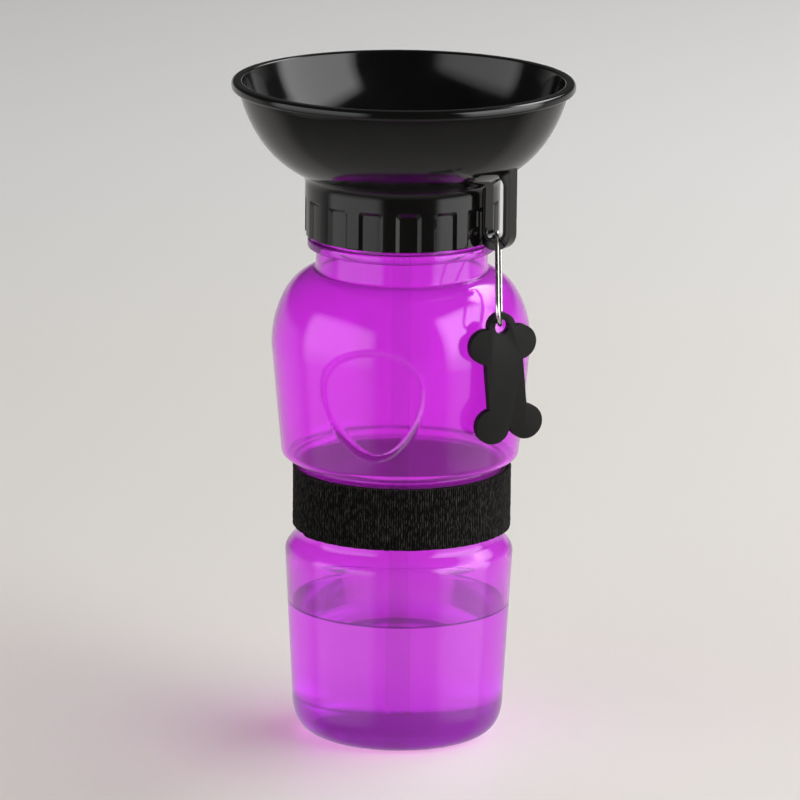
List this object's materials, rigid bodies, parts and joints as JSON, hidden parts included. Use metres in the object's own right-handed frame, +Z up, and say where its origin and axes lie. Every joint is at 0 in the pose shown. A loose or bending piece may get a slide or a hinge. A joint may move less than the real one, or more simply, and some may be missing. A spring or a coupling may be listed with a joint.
{
  "type": "dog travel water bottle",
  "caption": "Squeeze water bottle with a screwed-on drinking bowl, fountain insert, waist strap and a tag on a wire link.",
  "frame": {"origin": "centre of the base ring, on the surface the bottle stands on", "axes": "+Z up along the bottle's axis; +X from the axis to the bowl's hanging lug; the thumb dimple is near -Y, turned 17 degrees towards +X"},
  "size_m": [0.1252, 0.1252, 0.2448],
  "materials": {
    "bottle": "translucent violet squeeze plastic, glossy",
    "seal": "soft white silicone",
    "bowl": "black, glossy moulded plastic",
    "insert": "black, glossy moulded plastic",
    "tube": "clear to milky, smooth",
    "strap": "black loop webbing with a fine upright rib",
    "hook": "black hook tape",
    "wire": "bright steel wire",
    "tag": "dark grey, matt moulded rubber"
  },
  "bodies": {
    "bottle": {"bottle": "bottle"},
    "strap": {"strap_band": "strap", "hook_patch": "hook"},
    "gasket": {"neck_gasket": "seal"},
    "bowl": {"bowl": "bowl", "fountain_insert": "insert", "insert_seal": "seal", "dip_tube": "tube"},
    "link": {"wire_link": "wire"},
    "tag": {"bone_tag": "tag"}
  },
  "joints": [
    {"name": "strap_turn", "type": "hinge", "parent": "bottle", "child": "strap", "pos_m": [0, 0, 0.09], "axis": [0, 0, 1], "continuous": true},
    {"name": "bowl_lift", "type": "slide", "parent": "bottle", "child": "gasket", "axis": [0, 0, 1], "range_m": [0, 0.0091]},
    {"name": "bowl_turn", "type": "hinge", "parent": "gasket", "child": "bowl", "pos_m": [0, 0, 0.205], "axis": [0, 0, 1], "range_deg": [0, 540]},
    {"name": "link_swing", "type": "hinge", "parent": "bowl", "child": "link", "pos_m": [0.0397, 0, 0.1935], "axis": [0, -1, 0], "range_deg": [0, 90]},
    {"name": "tag_swing", "type": "hinge", "parent": "link", "child": "tag", "pos_m": [0.05037, -0.01601, 0.1632], "axis": [0.788, -0.6157, 0], "range_deg": [-50, 50]}
  ],
  "couplings": [
    {"joint": "bowl_lift", "follows": "bowl_turn", "m_per_rad": 0.00095493}
  ]
}
